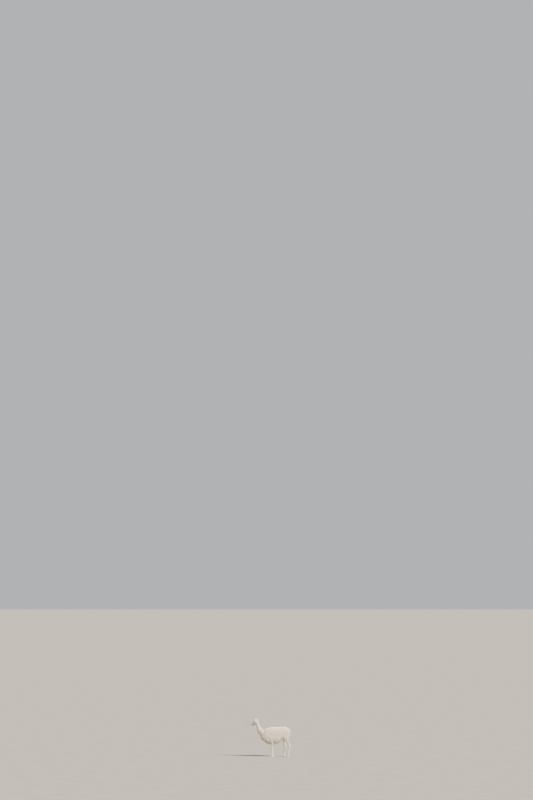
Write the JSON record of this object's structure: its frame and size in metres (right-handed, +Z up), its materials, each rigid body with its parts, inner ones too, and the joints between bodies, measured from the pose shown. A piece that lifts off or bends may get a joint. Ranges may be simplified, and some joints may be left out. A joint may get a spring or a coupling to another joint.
{
  "type": "llama",
  "caption": "Life-size still model of a white llama standing on all fours, neck leaning forward and head turned to its right.",
  "frame": {"origin": "on the floor under the middle of the whole animal's box", "axes": "+Z up, the body faces -Y, the animal's left side is +X"},
  "size_m": [0.4204, 1.4932, 1.4362],
  "materials": {
    "fleece": "soft white wool fleece, matt",
    "short_coat": "short white hair lying flat, matt",
    "ear": "fine short hair outside, thin pink skin in the cup",
    "eye": "wet and glossy, dark brown",
    "horn": "dark horn nails, satin"
  },
  "bodies": {
    "root": {"torso": "fleece", "neck": "fleece", "tail": "fleece", "head": "short_coat", "ear_left": "ear", "ear_right": "ear", "eye_left": "eye", "eye_right": "eye", "leg_front_left_upper": "short_coat", "leg_front_left_lower": "short_coat", "foot_front_left": "short_coat", "leg_front_right_upper": "short_coat", "leg_front_right_lower": "short_coat", "foot_front_right": "short_coat", "leg_hind_left_upper": "fleece", "leg_hind_left_lower": "short_coat", "foot_hind_left": "short_coat", "leg_hind_right_upper": "fleece", "leg_hind_right_lower": "short_coat", "foot_hind_right": "short_coat", "nail_front_left_outer": "horn", "nail_front_left_inner": "horn", "nail_front_right_outer": "horn", "nail_front_right_inner": "horn", "nail_hind_left_outer": "horn", "nail_hind_left_inner": "horn", "nail_hind_right_outer": "horn", "nail_hind_right_inner": "horn"}
  },
  "joints": []
}
